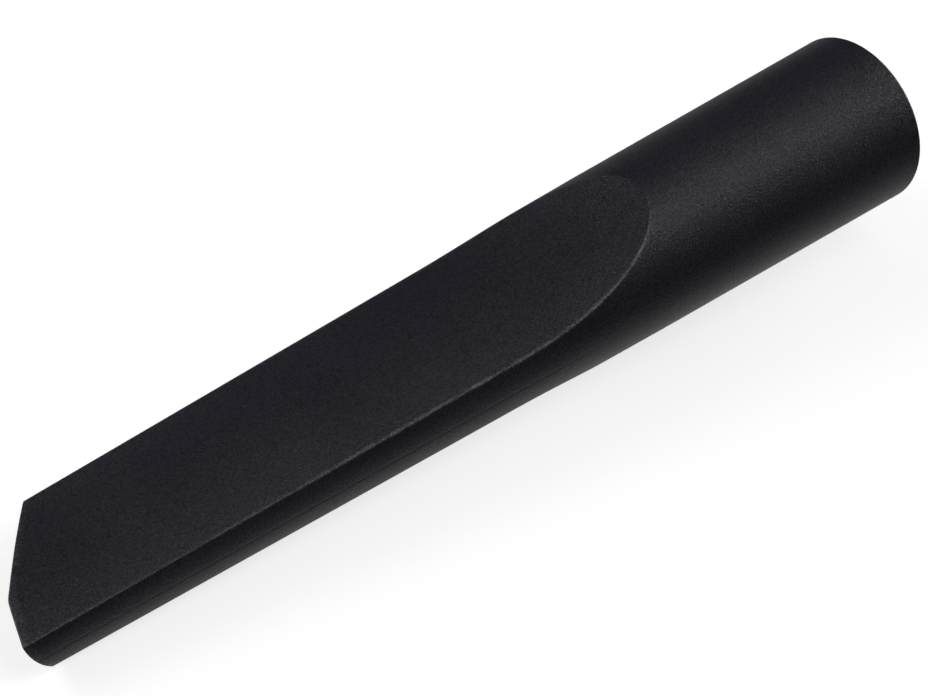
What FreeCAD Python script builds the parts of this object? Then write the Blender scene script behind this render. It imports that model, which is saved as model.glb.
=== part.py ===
import FreeCAD, Part
import math
import os
from FreeCAD import Vector as V

os.makedirs("parts", exist_ok=True)

# ---------------------------------------------------------------- driving dimensions (mm)
# Tool axes while it is being shaped: X along the bore from the socket mouth to the tip,
# Y across the blade (positive = the longer side of the tip), Z through the blade.
socket_r = 18.0            # outside radius at the socket mouth
bore_r = 16.0              # push-fit bore for a 32 mm wand end
bore_len = 40.0            # straight depth of that bore, up to the stop shoulder
lead_in = 0.8              # chamfer at the mouth of the bore
shoulder_r = 15.55         # channel radius just behind the stop shoulder
root_x = 70.0              # where the round tube gives way to the drafted blade
root_r = 17.6              # outside radius there
blade_draft = 0.0127       # loss of radius per mm of length along the blade
wall = 1.8                 # wall of the blade
far_x = 265.0              # end of the raw blank, beyond the tip

flat_x = 114.3             # the scooped face becomes straight here
flat_half = 8.484          # half thickness of the blade there, on its middle line
flat_draft = 0.01535       # loss of half thickness per mm of length
scoop_r = 125.5            # radius of the scoop that runs from the tube down to the flat
crown_r = 70.0             # radius of the slight crown across both faces

knee = (241.34, 4.30)      # corner of the long lip: X and Y
slant_short = 1.109        # X per mm of Y on the short side of the knee
slant_long = 0.605         # X per mm of Y on the long side of the knee
mouth_rake = 0.62          # X per mm of Z at the upper lip: the lower lip stands back from it
mouth_curl = 0.0307        # how fast that rake grows downwards, per mm of Z squared
rake_z = 5.0               # height the rake is measured from

edge_r = 0.6               # rounding between the crowned faces and the round sides
inner_edge_r = 1.2         # rounding inside the channel corners
rim_r = 0.5                # rounding of the socket's outer rim
lip_r = 0.2                # rounding of the mouth's outer lip
knee_r = 7.0               # rounding of the lip's knee

# How the tool lies: it tips onto its lower lip and the belly of the tube.
rest_pitch_deg = 3.971
rest_roll_deg = 2.4


def flat_tool(offset, sign):
    """Solid of everything outside one crowned face; offset moves the face inwards."""
    n = V(flat_draft, 0, 1).normalize()
    along = V(1, 0, -flat_draft).normalize()
    tangent = V(flat_x, 0, flat_half)
    r = crown_r - offset
    reach, top = 30.0, 60.0
    low = tangent - n * (crown_r - math.sqrt(r * r - reach * reach))
    high = tangent + n * top
    a, b = low + V(0, -reach, 0), low + V(0, reach, 0)
    c, d = high + V(0, reach, 0), high + V(0, -reach, 0)
    wire = Part.Wire([Part.Arc(a, tangent - n * offset, b).toShape(), Part.makeLine(b, c),
                      Part.makeLine(c, d), Part.makeLine(d, a)])
    face = Part.Face(wire)
    blade = face.extrude(along * (far_x + 20.0 - flat_x))
    scoop = face.revolve(tangent + n * scoop_r, V(0, 1, 0), 30)
    tool = blade.fuse(scoop)
    if sign < 0:
        tool = tool.mirror(V(0, 0, 0), V(0, 0, 1))
    return tool


def turned(profile):
    """Solid of revolution about X from (x, r) pairs."""
    pts = [V(x, 0, r) for x, r in profile]
    pts = [V(profile[0][0], 0, 0)] + pts + [V(profile[-1][0], 0, 0)]
    wire = Part.makePolygon(pts + [pts[0]])
    return Part.Face(wire).revolve(V(0, 0, 0), V(1, 0, 0), 360)


def long_edges(shape, x_lo, x_hi, r_of_x, offset, tol=0.25):
    """Edges where a crowned face meets the round side."""
    out = []
    for e in shape.Edges:
        a, b = e.ParameterRange
        hits = 0
        for k in (0.1, 0.35, 0.6, 0.9):
            p = e.valueAt(a + (b - a) * k)
            if not x_lo < p.x < x_hi:
                break
            if abs(math.hypot(p.y, p.z) - r_of_x(p.x)) < tol and abs(abs(p.z) - face_at(p.x, p.y, offset)) < tol:
                hits += 1
        if hits == 4:
            out.append(e)
    return out


def outer_r(x):
    if x < root_x:
        return socket_r + (root_r - socket_r) * x / root_x
    return root_r - blade_draft * (x - root_x)


def half_at(x, offset=0.0):
    nx, nz = flat_draft / math.hypot(flat_draft, 1), 1 / math.hypot(flat_draft, 1)
    cx, cz = flat_x + nx * scoop_r, flat_half + nz * scoop_r
    r = scoop_r + offset
    ex = cx - nx * r
    if x >= ex:
        return cz - nz * r - flat_draft * (x - ex)
    return cz - math.sqrt(r * r - (x - cx) ** 2)


def face_at(x, y, offset=0.0):
    """Height of a crowned face above the mid-plane."""
    r = crown_r - offset
    return half_at(x, crown_r - math.sqrt(r * r - y * y))


def inner_r(x):
    if x < root_x:
        return shoulder_r
    return shoulder_r - (shoulder_r - (outer_r(far_x) - wall)) * (x - root_x) / (far_x - root_x)


# ---------------------------------------------------------------- outside
blank = turned([(0, socket_r), (root_x, root_r), (far_x, outer_r(far_x))])
blank = blank.cut(flat_tool(0.0, 1)).cut(flat_tool(0.0, -1))
edges = long_edges(blank, 50, far_x + 1, outer_r, 0.0)
print("outer long edges", len(edges))
blank = blank.makeFillet(edge_r, edges)

# ---------------------------------------------------------------- inside
channel = turned([
    (-1, bore_r), (bore_len, bore_r), (bore_len + 0.6, shoulder_r),
    (root_x, shoulder_r), (far_x, inner_r(far_x)),
])
channel = channel.cut(flat_tool(wall, 1)).cut(flat_tool(wall, -1))
edges = long_edges(channel, 50, far_x + 1, inner_r, wall)
print("inner long edges", len(edges))
channel = channel.makeFillet(inner_edge_r, edges)

body = blank.cut(channel)

# ---------------------------------------------------------------- slanted, raked mouth
def lip_lines():
    """Slope and offset in X of each facet of the lip in plan, with the rounded knee as short tangents."""
    a0, a1 = math.atan(slant_short), math.atan(slant_long)
    bis = 0.5 * (a0 + a1)
    reach = knee_r / math.cos(0.5 * (a0 - a1))
    cy, cx = reach * math.sin(bis), -reach * math.cos(bis)
    out = []
    for k in range(4):
        m = math.tan(a0 + (a1 - a0) * k / 3)
        out.append((m, cx - m * cy + knee_r * math.hypot(1, m)))
    return out


def rake_at(z):
    d = z - rake_z
    return mouth_rake * d - mouth_curl * d * d


def past(p):
    """Signed distance in X of a point from the mouth."""
    return p.x - min(knee[0] + off + m * (p.y - knee[1]) for m, off in lip_lines()) - rake_at(p.z)


def mouth_tool(m, off):
    """Everything past one facet: the curved rake run along the lip's line."""
    lo, hi = -9.0, 9.0
    mid = 0.5 * (lo + hi)
    slope_lo = mouth_rake - 2 * mouth_curl * (lo - rake_z)
    y0 = knee[1] - 45.0
    x0 = knee[0] + off - 45.0 * m
    poles = [V(x0 + rake_at(lo), y0, lo), V(x0 + rake_at(lo) + slope_lo * (mid - lo), y0, mid),
             V(x0 + rake_at(hi), y0, hi)]
    curve = Part.BezierCurve()
    curve.setPoles(poles)
    far = x0 + 120.0
    c1, c2 = V(far, y0, hi), V(far, y0, lo)
    wire = Part.Wire([curve.toShape(), Part.makeLine(poles[2], c1), Part.makeLine(c1, c2),
                      Part.makeLine(c2, poles[0])])
    return Part.Face(wire).extrude(V(m, 1, 0) * 90.0)


for m, off in lip_lines():
    body = body.cut(mouth_tool(m, off))


def samples(e, n=5):
    a, b = e.ParameterRange
    return [e.valueAt(a + (b - a) * (k + 0.5) / n) for k in range(n)]


def on_mouth(p):
    return abs(past(p)) < 2e-3


def on_outside(p):
    return (abs(math.hypot(p.y, p.z) - outer_r(p.x)) < 0.02
            or abs(abs(p.z) - face_at(p.x, p.y)) < 0.02
            or (abs(p.z) > face_at(p.x, p.y) - edge_r - 0.02
                and math.hypot(p.y, p.z) > outer_r(p.x) - edge_r - 0.02))


lips = [e for e in body.Edges
        if all(on_mouth(p) and on_outside(p) for p in samples(e)) and e.Length > 1e-3]
print("lip edges", len(lips), [round(e.Length, 2) for e in lips])
body = body.makeFillet(lip_r, lips)

# ---------------------------------------------------------------- rim of the socket
rim = [e for e in body.Edges
       if abs(e.BoundBox.XMax) < 1e-3 and abs(e.BoundBox.XMin) < 1e-3
       and abs(e.BoundBox.YMax - socket_r) < 0.05]
print("rim edges", len(rim))
body = body.makeFillet(rim_r, rim)
mouth = [e for e in body.Edges
         if abs(e.BoundBox.XMax) < 1e-3 and abs(e.BoundBox.XMin) < 1e-3
         and abs(e.BoundBox.YMax - bore_r) < 0.05]
print("bore mouth edges", len(mouth))
body = body.makeChamfer(lead_in, mouth)

print("valid", body.isValid(), "solids", len(body.Solids), "volume cm3", round(body.Volume / 1000, 3))
body = body.Solids[0]

# ---------------------------------------------------------------- laid down as it rests
# Roll about the bore, then pitch the tip down; the origin is the middle of the footprint box.
body.rotate(V(0, 0, 0), V(1, 0, 0), rest_roll_deg)
body.rotate(V(0, 0, 0), V(0, 1, 0), rest_pitch_deg)
bb = body.optimalBoundingBox(False, False)
shift = V(-(bb.XMin + bb.XMax) / 2, -(bb.YMin + bb.YMax) / 2, -bb.ZMin)
body.translate(shift)
bb = body.optimalBoundingBox(False, False)
print("box", [round(v, 4) for v in (bb.XMin, bb.XMax, bb.YMin, bb.YMax, bb.ZMin, bb.ZMax)])
print("centre of mass", [round(c, 3) for c in body.CenterOfMass])
print("shift", [round(c, 5) for c in shift])

body.exportStep("parts/crevice_tool_body.step")
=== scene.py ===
import math

import bpy
import numpy as np
from mathutils import Matrix, Vector


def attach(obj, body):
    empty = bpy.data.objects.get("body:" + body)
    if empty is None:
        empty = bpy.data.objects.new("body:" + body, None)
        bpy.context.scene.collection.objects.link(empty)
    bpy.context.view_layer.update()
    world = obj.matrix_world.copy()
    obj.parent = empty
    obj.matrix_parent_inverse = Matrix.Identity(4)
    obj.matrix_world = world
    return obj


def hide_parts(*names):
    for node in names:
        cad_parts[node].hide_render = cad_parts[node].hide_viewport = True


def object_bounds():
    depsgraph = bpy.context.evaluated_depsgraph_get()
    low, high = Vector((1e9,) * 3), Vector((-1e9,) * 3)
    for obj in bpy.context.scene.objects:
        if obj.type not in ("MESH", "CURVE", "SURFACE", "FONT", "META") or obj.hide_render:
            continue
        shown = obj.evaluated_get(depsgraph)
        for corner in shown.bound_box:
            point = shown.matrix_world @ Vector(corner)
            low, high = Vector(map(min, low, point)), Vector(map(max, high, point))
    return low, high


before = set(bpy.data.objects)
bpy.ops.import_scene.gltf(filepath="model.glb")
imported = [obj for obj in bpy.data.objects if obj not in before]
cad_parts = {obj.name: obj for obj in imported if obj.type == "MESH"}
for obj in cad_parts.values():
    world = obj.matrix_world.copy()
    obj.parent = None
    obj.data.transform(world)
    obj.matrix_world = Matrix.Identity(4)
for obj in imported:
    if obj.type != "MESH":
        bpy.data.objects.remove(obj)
size_before = [list(map(float, v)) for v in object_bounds()]

# ---------------------------------------------------------------- shape (mm, tool axes)
# X along the bore from the socket mouth to the tip, Y across the blade, Z through it.
SOCKET_R, ROOT_R, ROOT_X, DRAFT = 18.0, 17.6, 70.0, 0.0127
BORE_R, BORE_LEN, SHOULDER_R, LEAD_IN = 16.0, 40.0, 15.55, 0.8
WALL, FAR_X = 1.8, 265.0
FLAT_X, FLAT_HALF, FLAT_DRAFT, SCOOP_R, CROWN_R = 114.3, 8.484, 0.01535, 125.5, 70.0
KNEE_X, KNEE_Y, SLANT_SHORT, SLANT_LONG = 241.34, 4.30, 1.109, 0.605
RAKE, CURL, RAKE_Z = 0.62, 0.0307, 5.0
EDGE_R, INNER_EDGE_R, RIM_R, LIP_R = 0.6, 1.2, 0.5, 0.22
PITCH, ROLL = math.radians(3.971), math.radians(2.4)
SHIFT = np.array([-122.86268, 0.0, 22.35176])

_n = math.hypot(FLAT_DRAFT, 1.0)
NX, NZ = FLAT_DRAFT / _n, 1.0 / _n
CX, CZ = FLAT_X + NX * SCOOP_R, FLAT_HALF + NZ * SCOOP_R


def smin(a, b, k):
    """Minimum of two with a rounded changeover of width k."""
    h = np.clip(0.5 + 0.5 * (b - a) / k, 0.0, 1.0)
    return b + (a - b) * h - k * h * (1.0 - h)


def half_at(x, offset):
    """Half thickness on the middle line of the crowned faces."""
    r = SCOOP_R + offset
    ex = CX - NX * r
    line = CZ - NZ * r - FLAT_DRAFT * (x - ex)
    arc = CZ - np.sqrt(np.maximum(r * r - (x - CX) ** 2, 0.0))
    return np.where(x >= ex, line, arc)


def outer_r(x):
    return np.where(x < ROOT_X, SOCKET_R + (ROOT_R - SOCKET_R) * x / ROOT_X, ROOT_R - DRAFT * (x - ROOT_X))


IN_FAR = float(outer_r(np.array(FAR_X))) - WALL


def inner_r(x):
    blade = SHOULDER_R - (SHOULDER_R - IN_FAR) * (x - ROOT_X) / (FAR_X - ROOT_X)
    tube = np.where(x < BORE_LEN, BORE_R, np.maximum(SHOULDER_R, BORE_R - (x - BORE_LEN) / 0.6 * (BORE_R - SHOULDER_R)))
    return np.where(x < ROOT_X, tube, blade)


def apex_of(radius, offset):
    """Where the scoop leaves the round tube."""
    lo, hi = 50.0, 100.0
    for _ in range(60):
        mid = 0.5 * (lo + hi)
        if half_at(np.array(mid), offset) > radius(np.array(mid)):
            lo = mid
        else:
            hi = mid
    return 0.5 * (lo + hi)


OUT_APEX = apex_of(outer_r, 0.0)
IN_APEX = apex_of(inner_r, WALL)

N_SIDE, N_CORNER, N_FLAT = 13, 9, 22
SEAM = np.array([0.0, 0.13, 0.3])          # mm from the mid-plane: lines that carry the parting line


def section(x, radius, offset, fillet, apex, seam_depth):
    """Points of one quadrant's lines at stations x: (len(x), lines, 2), from the mid-plane to the top."""
    x = np.asarray(x, float)
    r = radius(x)
    h = smin(half_at(x, offset), r + 0.02, 0.16)
    hh = np.minimum(h, r - 1e-4)
    f = np.minimum(fillet, 0.9 * h)
    # circle of the crown as this section cuts it, and the rounding between it and the side
    sr = SCOOP_R + offset
    lean = np.where(x < CX - NX * sr, np.sqrt(np.maximum(1 - ((x - CX) / sr) ** 2, 0.05)), 1.0)
    b = (CROWN_R - offset) * lean
    k = hh - b
    cz = np.minimum(((r - f) ** 2 - (b - f) ** 2 + k * k) / (2 * k), r - f - 1e-6)
    cx = np.sqrt(np.maximum((r - f) ** 2 - cz ** 2, 1e-6))
    p1y, p1z = cx * b / (b - f), k + (cz - k) * b / (b - f)
    t1, t2 = np.arctan2(p1z, p1y), np.arctan2(cz, cx)
    T1, T2 = t1[:, None].copy(), t2[:, None].copy()
    # the lines gather at the apex and fan out again along the tube
    ahead = np.maximum(apex - x, 0.0)
    fan = np.radians(0.5) + np.radians(52.0) * np.sqrt(np.clip(ahead / 45.0, 0, 1))
    tube = x < apex
    t2 = np.where(tube, np.minimum(t2, math.pi / 2 - fan), t2)
    t1 = np.where(tube, np.minimum(t1, math.pi / 2 - fan * 0.9), t1)
    t1 = np.maximum(t1, t2 + 1e-4)
    rows = []
    seam_t = SEAM[None, :] / r[:, None]
    rows.append(seam_t)
    s = np.linspace(0, 1, N_SIDE + 1)[1:]
    s = 1 - (1 - s) ** 1.25
    rows.append(seam_t[:, -1:] + (t2[:, None] - seam_t[:, -1:]) * s[None, :])
    s = np.linspace(0, 1, N_CORNER + 1)[1:]
    rows.append(t2[:, None] + (t1 - t2)[:, None] * s[None, :])
    s = np.linspace(0, 1, N_FLAT)
    s = np.concatenate([[0.012], 0.03 + 0.97 * s])[:N_FLAT + 1]
    flat_y = p1y[:, None] * (1 - s[None, :])
    t_flat = np.arctan2(k[:, None] + np.sqrt(b[:, None] ** 2 - flat_y ** 2), flat_y)
    t_tube = t1[:, None] + (math.pi / 2 - t1)[:, None] * s[None, :]
    rows.append(np.where(tube[:, None], t_tube, t_flat))
    t = np.concatenate(rows, 1)
    # polar radius of the rounded section
    u = np.stack([np.cos(t), np.sin(t)], -1)
    c = np.stack([cx, cz], -1)[:, None, :]
    cu = (c * u).sum(-1)
    arc = cu + np.sqrt(np.maximum(cu ** 2 - (c ** 2).sum(-1) + (f ** 2)[:, None], 0.0))
    kk = (h - b)[:, None]
    crown = kk * u[..., 1] + np.sqrt(np.maximum(b[:, None] ** 2 - (kk * u[..., 0]) ** 2, 0.0))
    rad = np.where(t < T2, r[:, None], np.where(t > T1, crown, arc))
    rad = np.minimum(rad, r[:, None])
    if seam_depth is not None:
        rad[:, 0] -= seam_depth
        rad[:, 1] -= 0.35 * seam_depth
    return rad[..., None] * u


def ring(x, radius, offset, fillet, apex, seam_depth=None):
    """Whole closed rings at stations x: (len(x), lines, 2) of (y, z)."""
    q = section(x, radius, offset, fillet, apex, seam_depth)
    a = q                                        # +y to top
    b = q[:, -2::-1] * np.array([-1.0, 1.0])     # top to -y
    d = q[:, 1:] * np.array([-1.0, -1.0])        # -y to bottom
    e = q[:, -2:0:-1] * np.array([1.0, -1.0])    # bottom to +y
    return np.concatenate([a, b, d, e], 1)


def seam_at(x):
    """Depth of the parting line: crisp along the blade, almost gone on the tube."""
    t = np.clip((x - 84.0) / 34.0, 0, 1)
    return 0.010 + 0.050 * t * t * (3 - 2 * t)


def mouth_x(y, z):
    a = KNEE_X + SLANT_SHORT * (y - KNEE_Y)
    b = KNEE_X + SLANT_LONG * (y - KNEE_Y)
    d = z - RAKE_Z
    return smin(a, b, 0.39) + RAKE * d - CURL * d * d


def lines_along(stations, x_from, radius, offset, fillet, apex, seam):
    """3-D lines that follow the stations, the last ones stretched so that every line ends on the mouth."""
    n = ring(np.array([200.0]), radius, offset, fillet, apex).shape[1]
    lo, hi = np.full(n, 190.0), np.full(n, 262.0)
    idx = np.arange(n)
    for _ in range(34):
        mid = 0.5 * (lo + hi)
        yz = ring(mid, radius, offset, fillet, apex)[idx, idx]
        beyond = mid > mouth_x(yz[:, 0], yz[:, 1])
        hi = np.where(beyond, mid, hi)
        lo = np.where(beyond, lo, mid)
    end = 0.5 * (lo + hi)
    out = []
    for st in stations:
        if st <= x_from:
            x = np.array([st])
            yz = ring(x, radius, offset, fillet, apex, seam(x) if seam else None)[0]
            out.append(np.column_stack([np.full(n, st), yz]))
        else:
            u = (st - x_from) / (stations[-1] - x_from)
            x = x_from + u * (end - x_from)
            yz = ring(x, radius, offset, fillet, apex, seam(x) if seam else None)[idx, idx]
            out.append(np.column_stack([x, yz]))
    return np.array(out)


def spaced(*runs):
    out = []
    for a, b, step in runs:
        k = max(1, int(round((b - a) / step)))
        out += list(np.linspace(a, b, k + 1)[:-1])
    return out + [runs[-1][1]]


ap = OUT_APEX
outer_st = spaced((RIM_R, RIM_R + 0.4, 0.2), (RIM_R + 0.4, ap - 8, 2.2), (ap - 8, ap - 1.2, 0.6), (ap - 1.2, ap + 3, 0.12),
                  (ap + 3, ap + 12, 0.4), (ap + 12, FLAT_X + 2, 0.8), (FLAT_X + 2, 188, 1.9), (188, 237.4, 1.1), (237.4, 240.0, 2.6))
ap = IN_APEX
inner_st = spaced((LEAD_IN, LEAD_IN + 0.3, 0.15), (LEAD_IN + 0.3, BORE_LEN - 0.1, 4), (BORE_LEN - 0.1, BORE_LEN + 0.7, 0.1),
                  (BORE_LEN + 0.7, ap - 6, 3.5), (ap - 6, ap - 1, 1.0), (ap - 1, ap + 3, 0.25), (ap + 3, ap + 12, 0.8),
                  (ap + 12, FLAT_X + 2, 1.8), (FLAT_X + 2, 188, 4.5), (188, 240, 2.2))

outer = lines_along(outer_st, 188.0, outer_r, 0.0, EDGE_R, OUT_APEX, seam_at)
inner = lines_along(inner_st, 188.0, inner_r, WALL, INNER_EDGE_R, IN_APEX, None)


def corner(p, a, b, r, n):
    """Rounded corner at p between the ways towards a and b; returns n + 1 rows."""
    da = a - p
    db = b - p
    da /= np.linalg.norm(da, axis=1, keepdims=True)
    db /= np.linalg.norm(db, axis=1, keepdims=True)
    half = 0.5 * np.arccos(np.clip((da * db).sum(1), -1, 1))
    cut = np.minimum(r / np.tan(half), 2.2 * r)[:, None]
    pa, pb = p + da * cut, p + db * cut
    w = np.sin(half)[:, None]
    rows = []
    for k in range(n + 1):
        t = k / n
        b0, b1, b2 = (1 - t) ** 2, 2 * t * (1 - t) * w, t * t
        rows.append((b0 * pa + b1 * p + b2 * pb) / (b0 + b1 + b2))
    return rows


rows = []
kind = []                                        # 0 outside, 1 rim, 2 inside, 3 lip
po, pi = outer[-1], inner[-1]
# outside, from the socket to the tip
for rw in outer[:-1]:
    rows.append(rw)
    kind.append(0)
# outer lip, face of the mouth, inner lip
for rw in corner(po, outer[-2], pi, LIP_R, 6):
    rows.append(rw)
    kind.append(3)
for t in (0.38, 0.5, 0.62):
    rows.append(po + (pi - po) * t)
    kind.append(3)
for rw in corner(pi, po, inner[-2], 0.15, 3):
    rows.append(rw)
    kind.append(3)
# channel and bore, from the tip back to the socket
for rw in inner[-2::-1]:
    rows.append(rw)
    kind.append(2)
# lead-in chamfer, flat of the rim, rounded outer rim
ring0 = ring(np.array([0.0]), outer_r, 0.0, EDGE_R, OUT_APEX)[0]
unit0 = ring0 / np.linalg.norm(ring0, axis=1, keepdims=True)


def rim_row(x, r):
    rows.append(np.column_stack([np.full(len(unit0), x), unit0 * r]))
    kind.append(1)


for t in (0.06, 0.5, 0.94):
    rim_row(LEAD_IN * (1 - t), BORE_R + LEAD_IN * t)
rim_row(0.0, BORE_R + LEAD_IN + 0.06)
rim_row(0.0, BORE_R + LEAD_IN + 0.35)
rim_row(0.0, SOCKET_R - RIM_R - 0.05)
for k in range(0, 7):
    a = k / 7 * math.pi / 2
    rim_row(RIM_R * (1 - math.cos(a)) if k else 0.0, SOCKET_R - 0.003 - RIM_R + RIM_R * math.sin(a))

grid = np.array(rows)
n_ring, n_line = grid.shape[:2]

# ---------------------------------------------------------------- to the frame, in metres
cr, sr_, cp, sp = math.cos(ROLL), math.sin(ROLL), math.cos(PITCH), math.sin(PITCH)
RX = np.array([[1, 0, 0], [0, cr, -sr_], [0, sr_, cr]])
RY = np.array([[cp, 0, sp], [0, 1, 0], [-sp, 0, cp]])
ROT = RY @ RX


def to_frame(p):
    return (p @ ROT.T + SHIFT) / 1000.0


pts = to_frame(grid.reshape(-1, 3))
lo, hi = np.array(size_before[0]), np.array(size_before[1])
pts = np.clip(pts, lo, hi)
i = np.arange(n_ring)[:, None]
j = np.arange(n_line)[None, :]
i2, j2 = (i + 1) % n_ring, (j + 1) % n_line
quads = np.stack(np.broadcast_arrays(i * n_line + j, i * n_line + j2, i2 * n_line + j2, i2 * n_line + j), -1).reshape(-1, 4)

me = bpy.data.meshes.new("crevice_tool")
me.from_pydata(pts.tolist(), [], quads.tolist())
me.update()
ob = bpy.data.objects.new("crevice_tool", me)
bpy.context.scene.collection.objects.link(ob)
me.polygons.foreach_set("use_smooth", [True] * len(me.polygons))

# ---------------------------------------------------------------- unrolled map for baking
# The outside is cut at the parting line and once across, which gives four strips, and the channel gives two.
step_yz = np.linalg.norm(np.roll(grid, -1, 1)[..., 1:] - grid[..., 1:], axis=-1)
across = np.concatenate([np.zeros((n_ring, 1)), np.cumsum(step_yz, 1)], 1)
half_n = n_line // 2
kinds = np.array(kind)
n_out = int((kinds == 0).sum())
first_in = int(np.argmax(kinds == 2))
first_rim = int(np.argmax(kinds == 1))
step_along = np.linalg.norm(np.roll(grid, -1, 0) - grid, axis=-1)
along = grid[..., 0].copy()                      # outside: the station itself
for k in range(n_out, first_in + 1):             # on over the lip
    along[k] = along[k - 1] + step_along[k - 1]
for k in range(n_ring - 1, first_rim - 1, -1):   # back over the rim
    along[k] = along[(k + 1) % n_ring] - step_along[k]
along_in = -grid[..., 0]                         # the channel runs back
# the upper lip is slanted, so its rows are sheared along it to stay clear of each other
along_up = along.copy()
up, top_j = slice(0, half_n + 1), half_n // 2
place = across[:, up] - across[:, top_j:top_j + 1]
slant = np.clip(np.gradient(along[n_out, up]) / np.gradient(place[n_out]), -1.6, 1.6)
for k in range(n_out + 1, first_in + 1):
    along_up[k, up] += slant * (place[k] - place[n_out])
cut = int(np.argmin(np.abs(grid[:n_out, 0, 0] - 124.0)))
SC, GAP = 0.0050, 0.005


def strip_uv(i_, j_, front, part):
    """Places of grid corners in the map; front is the upper half, part 0 rear, 1 blade, 2 channel."""
    mid = np.where(front, half_n // 2, half_n + half_n // 2)
    row = i_ % n_ring
    ac = across[row, j_] - across[row, mid]
    al = np.where(front, along_up[row, j_ % n_line], along[row, j_ % n_line])
    ai = along_in[row, j_ % n_line]
    rear_w, blade_w = 57.0 * SC, 45.4 * SC
    u0 = GAP + (al + 3.6) * SC
    v0 = np.where(front, GAP + 0.5 * rear_w, 2 * GAP + 1.5 * rear_w) + ac * SC
    ub = GAP + (al - 123.0) * SC
    vb = 3 * GAP + 2 * rear_w + 0.5 * blade_w + ac * SC
    ur = 0.66 + GAP + 0.5 * blade_w + ac * SC
    vr = GAP + (al - 123.0) * SC
    uc = GAP + (ai + 248.5) * 0.0039
    vc = np.where(front, 0.8625, 0.9535) + ac * 0.0017
    u = np.where(part == 0, u0, np.where(part == 2, uc, np.where(front, ub, ur)))
    v = np.where(part == 0, v0, np.where(part == 2, vc, np.where(front, vb, vr)))
    return np.stack([u, v], -1)


fi, fj = np.broadcast_arrays(i, j)
fi, fj = fi.ravel(), fj.ravel()
front = fj < half_n
part = np.where((fi < cut) | (fi >= first_rim), 0, np.where(fi < first_in, 1, 2))
uv = np.stack([strip_uv(fi + a, fj + b, front, part) for a, b in ((0, 0), (0, 1), (1, 1), (1, 0))], 1)
uv_map = me.uv_layers.new(name="OFBake")
uv_map.data.foreach_set("uv", uv.astype(np.float32).ravel())

# how much handling has polished or rubbed each vertex along the corners, the lip and the rim, together with a painted
# highlight along the corners: the paler corners are partly real wear and partly a painted glint
wear_and_glint = np.zeros((n_ring, n_line), np.float32)
q_lines = len(SEAM) + N_SIDE + N_CORNER + N_FLAT + 1
c0 = len(SEAM) + N_SIDE - 1
quad_wear_glint = np.zeros(q_lines, np.float32)
quad_wear_glint[c0 + 1:c0 + N_CORNER + 2] = 1.0
quad_wear_glint[c0] = 0.3
line_wear_glint = np.concatenate([quad_wear_glint, quad_wear_glint[-2::-1], quad_wear_glint[1:], quad_wear_glint[-2:0:-1]])
# painted highlight: the shallow end of the scoop's near edge, and a little way onto the side below it, is made paler to
# stand in for the glint there
quad_glint = np.zeros(q_lines, np.float32)
quad_glint[c0:c0 + N_CORNER + 2] = 0.9
quad_glint[c0 - 1] = 0.15
line_glint = np.concatenate([quad_glint, quad_glint[-2::-1], quad_glint[1:], quad_glint[-2:0:-1]])
for k in range(n_ring):
    if kind[k] == 0:
        x = grid[k, :, 0]
        on = np.clip((x - (OUT_APEX + 0.2)) / 1.5, 0, 1)
        # the corner paling fades towards the tip and is full on the near side (y > 0): partly real wear, partly a
        # painted highlight along the edge
        wear_and_glint[k] = line_wear_glint * on * (0.12 + 0.88 * np.clip((208.0 - x) / 58.0, 0, 1)) * np.where(grid[k, :, 1] > 0, 1.0, 0.4)
        wear_and_glint[k] += line_glint * np.clip((x - 70.8) / 1.5, 0, 1) * np.clip((82.0 - x) / 5.0, 0, 1) * (grid[k, :, 1] > 0)
    elif kind[k] in (1, 3):
        wear_and_glint[k] = 0.5
att = me.attributes.new("wear_and_glint", "FLOAT", "POINT")
att.data.foreach_set("value", wear_and_glint.ravel())

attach(ob, "root")
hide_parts("crevice_tool_body")

# ---------------------------------------------------------------- material
mat = bpy.data.materials.new("black_plastic")
mat.use_nodes = True
nt = mat.node_tree
nt.nodes.clear()
out = nt.nodes.new("ShaderNodeOutputMaterial")
bsdf = nt.nodes.new("ShaderNodeBsdfPrincipled")
nt.links.new(bsdf.outputs[0], out.inputs["Surface"])
coord = nt.nodes.new("ShaderNodeTexCoord")


def noise(scale, detail, rough=0.5):
    n = nt.nodes.new("ShaderNodeTexNoise")
    n.inputs["Scale"].default_value = scale
    n.inputs["Detail"].default_value = detail
    n.inputs["Roughness"].default_value = rough
    nt.links.new(coord.outputs["Object"], n.inputs["Vector"])
    return n


def ramp(src, stops):
    r = nt.nodes.new("ShaderNodeValToRGB")
    el = r.color_ramp.elements
    while len(el) < len(stops):
        el.new(0.5)
    for e, (p, c) in zip(el, stops):
        e.position = p
        e.color = (c[0], c[1], c[2], 1.0) if hasattr(c, "__len__") else (c, c, c, 1.0)
    nt.links.new(src, r.inputs["Fac"])
    return r


def math_node(op, a, b):
    m = nt.nodes.new("ShaderNodeMath")
    m.operation = op
    for k, v in enumerate((a, b)):
        if isinstance(v, (int, float)):
            m.inputs[k].default_value = v
        else:
            nt.links.new(v, m.inputs[k])
    return m.outputs[0]


cloud = noise(38.0, 3.0)
grain = noise(2600.0, 2.0, 0.5)
speck = noise(2250.0, 2.0, 0.5)
fleck = noise(3600.0, 1.0)
patch = noise(210.0, 4.0, 0.6)
wear_and_glint_in = nt.nodes.new("ShaderNodeAttribute")
wear_and_glint_in.attribute_name = "wear_and_glint"
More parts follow.
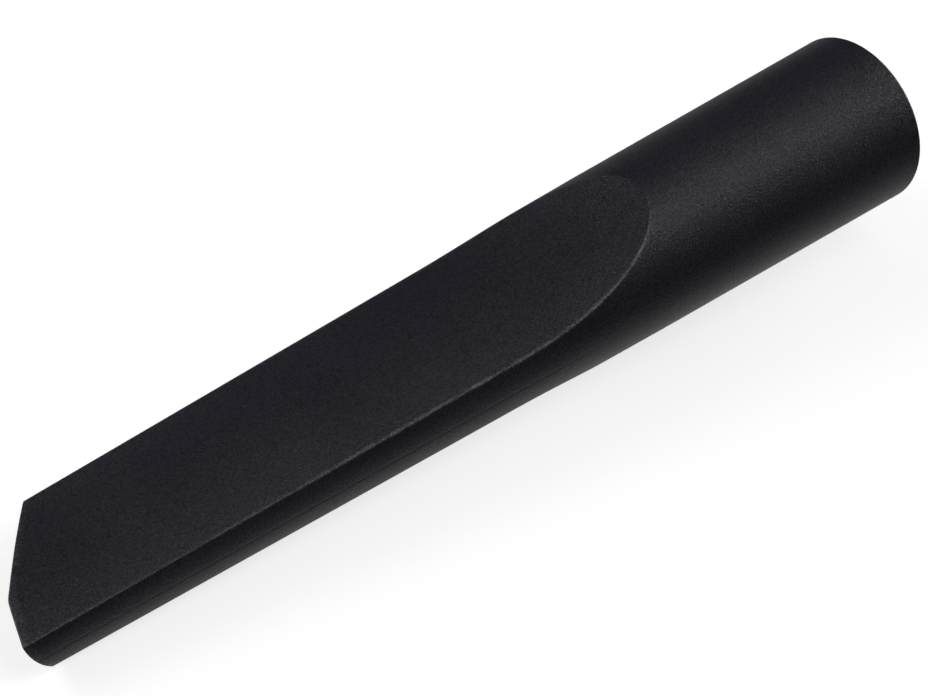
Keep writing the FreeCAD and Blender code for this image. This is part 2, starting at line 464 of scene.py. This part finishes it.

# colour: near-black and faintly blue, mottled by the spark-eroded grain, paler in beaded patches on the edges, which is
# partly rubbed wear and partly a painted highlight along the edges
pits = ramp(speck.outputs["Fac"], [(0.34, (0.0042, 0.0040, 0.0082)), (0.66, (0.0150, 0.0146, 0.0226))])
tint = ramp(cloud.outputs["Fac"], [(0.30, (0.88, 0.88, 0.92)), (0.70, (1.12, 1.10, 1.08))])
tone = nt.nodes.new("ShaderNodeMix")
tone.data_type = "RGBA"
tone.blend_type = "MULTIPLY"
tone.inputs["Factor"].default_value = 1.0
nt.links.new(pits.outputs["Color"], tone.inputs[6])
nt.links.new(tint.outputs["Color"], tone.inputs[7])
mix = nt.nodes.new("ShaderNodeMix")
mix.data_type = "RGBA"
# mix factor: real wear plus painted highlight, in patches and broken into beads by the grain
wear_and_glint_factor = math_node("MULTIPLY", wear_and_glint_in.outputs["Fac"], ramp(patch.outputs["Fac"], [(0.38, 0.22), (0.68, 0.90)]).outputs["Color"])
wear_and_glint_factor = math_node("MULTIPLY", wear_and_glint_factor, ramp(speck.outputs["Fac"], [(0.40, 0.35), (0.60, 1.0)]).outputs["Color"])
nt.links.new(wear_and_glint_factor, mix.inputs["Factor"])
nt.links.new(tone.outputs[2], mix.inputs[6])
# the pale grey-violet of the rubbed edges and of the painted edge highlight
mix.inputs[7].default_value = (0.135, 0.134, 0.152, 1.0)
nt.links.new(mix.outputs[2], bsdf.inputs["Base Color"])

# roughness: satin, a little smoother on the tops of the grain, polished where it is handled
rough_a = ramp(cloud.outputs["Fac"], [(0.3, 0.28), (0.7, 0.33)])
rough_b = math_node("ADD", rough_a.outputs["Color"], ramp(fleck.outputs["Fac"], [(0.35, 0.0), (0.75, 0.09)]).outputs["Color"])
rough_c = math_node("SUBTRACT", rough_b, math_node("MULTIPLY", math_node("MINIMUM", wear_and_glint_in.outputs["Fac"], 1.0), 0.10))
nt.links.new(rough_c, bsdf.inputs["Roughness"])
# the pits of the grain hold the shine back as well
nt.links.new(ramp(speck.outputs["Fac"], [(0.34, 0.37), (0.66, 0.63)]).outputs["Color"], bsdf.inputs["Specular IOR Level"])
bsdf.inputs["IOR"].default_value = 1.5

bump = nt.nodes.new("ShaderNodeBump")
bump.inputs["Strength"].default_value = 1.0
bump.inputs["Distance"].default_value = 0.00013
nt.links.new(grain.outputs["Fac"], bump.inputs["Height"])
nt.links.new(bump.outputs["Normal"], bsdf.inputs["Normal"])
me.materials.append(mat)

# ---------------------------------------------------------------- floor
bpy.ops.mesh.primitive_plane_add(size=6.0, location=(0, 0, -0.0002))
floor = bpy.context.object
floor.name = "floor"
fm = bpy.data.materials.new("floor")
fm.use_nodes = True
fb = fm.node_tree.nodes["Principled BSDF"]
fb.inputs["Base Color"].default_value = (0.45, 0.45, 0.45, 1.0)
fb.inputs["Roughness"].default_value = 0.9
fb.inputs["Specular IOR Level"].default_value = 0.0
fb.inputs["Emission Color"].default_value = (1.0, 1.0, 1.0, 1.0)
fb.inputs["Emission Strength"].default_value = 0.74
floor.data.materials.append(fm)
floor.visible_glossy = False
floor.visible_diffuse = False

# ---------------------------------------------------------------- camera
M = np.array([[-0.7002, 0.7017, 0.1312], [0.3999, 0.5379, -0.7421], [-0.5913, -0.4672, -0.6574]])
u_, s_, v_ = np.linalg.svd(M)
M = u_ @ v_
T = np.array([80.42, -47.27, 1642.74])
cam_pos = to_frame((-M.T @ T)[None])[0]
right, down, fwd = (ROT @ M[0], ROT @ M[1], ROT @ M[2])
cam = bpy.data.cameras.new("camera")
cam.sensor_fit = "HORIZONTAL"
cam.sensor_width = 36.0
cam.lens = 8000.0 / 928.0 * 36.0
cam.clip_end = 20.0
co = bpy.data.objects.new("camera", cam)
bpy.context.scene.collection.objects.link(co)
rot = Matrix([[right[k], -down[k], -fwd[k]] for k in range(3)])
co.matrix_world = Matrix.Translation(Vector(cam_pos)) @ rot.to_4x4()
bpy.context.scene.camera = co

# ---------------------------------------------------------------- light
# The world is dark above and pale below: the bounce that a bright table gives the underside,
# stronger from behind the tool than from in front of it.
world = bpy.data.worlds.new("world")
bpy.context.scene.world = world
world.use_nodes = True
wn = world.node_tree
bg = wn.nodes["Background"]
w_co = wn.nodes.new("ShaderNodeTexCoord")
w_sep = wn.nodes.new("ShaderNodeSeparateXYZ")
w_down = wn.nodes.new("ShaderNodeMath")
w_down.operation = "MULTIPLY"
w_down.inputs[1].default_value = -1.0
w_side = wn.nodes.new("ShaderNodeMapRange")
w_side.inputs["From Min"].default_value = -0.25
w_side.inputs["From Max"].default_value = 0.25
w_mix = wn.nodes.new("ShaderNodeMix")
w_mix.data_type = "RGBA"
wn.links.new(w_co.outputs["Generated"], w_sep.inputs[0])
wn.links.new(w_sep.outputs["Z"], w_down.inputs[0])
wn.links.new(w_sep.outputs["Y"], w_side.inputs["Value"])
wn.links.new(w_side.outputs["Result"], w_mix.inputs["Factor"])


def bounce(levels, socket):
    r = wn.nodes.new("ShaderNodeValToRGB")
    el = r.color_ramp.elements
    while len(el) < len(levels):
        el.new(0.5)
    for e, (pos, v) in zip(el, levels):
        e.position = pos
        e.color = (v, v, v * 1.02, 1.0)
    wn.links.new(w_down.outputs[0], r.inputs["Fac"])
    wn.links.new(r.outputs["Color"], socket)


bounce(((0.0, 0.0), (0.015, 0.12), (0.2, 0.13), (0.45, 0.24), (0.7, 0.38), (1.0, 0.50)), w_mix.inputs[6])
bounce(((0.0, 0.0), (0.015, 0.035), (0.2, 0.045), (0.45, 0.15), (0.7, 0.32), (1.0, 0.52)), w_mix.inputs[7])
wn.links.new(w_mix.outputs[2], bg.inputs["Color"])
bg.inputs["Strength"].default_value = 1.0


def area(name, direction, dist, w, h, power, colour=(1, 1, 1)):
    """A soft box that looks at the middle of the tool from a direction in the frame."""
    d = Vector(direction).normalized()
    l = bpy.data.lights.new(name, "AREA")
    l.shape = "RECTANGLE"
    l.size, l.size_y = w, h
    l.energy = power
    l.color = colour
    o = bpy.data.objects.new(name, l)
    bpy.context.scene.collection.objects.link(o)
    o.location = d * dist + Vector((0, 0, 0.015))
    o.rotation_euler = (-d).to_track_quat("-Z", "Y").to_euler()
    o.visible_camera = False
    return o


def softbox(name, elevation, azimuth, power, low=False):
    e, a = math.radians(elevation), math.radians(azimuth)
    d = (math.cos(e) * math.cos(a), math.cos(e) * math.sin(a), math.sin(e))
    return area(name, d, 1.5, 0.9, 0.5 if low else 0.9, power)


softbox("over_front_left", 60, 135, 1.97)
softbox("over_front", 60, 90, 4.7)
softbox("over_left", 60, 180, 0.65)
softbox("over_back_left", 60, 225, 0.26)
softbox("top", 90, 0, 1.19)
softbox("back_right", 35, 315, 10.5)
softbox("back_left", 35, 225, 0.23)
softbox("front_left", 35, 135, 0.26)
softbox("low_back", 12, 270, 5.5, low=True)
softbox("low_left", 12, 180, 8.0, low=True)
softbox("low_front_left", 12, 135, 0.26, low=True)

bpy.context.scene.view_settings.view_transform = "Standard"
bpy.context.scene.view_settings.look = "None"
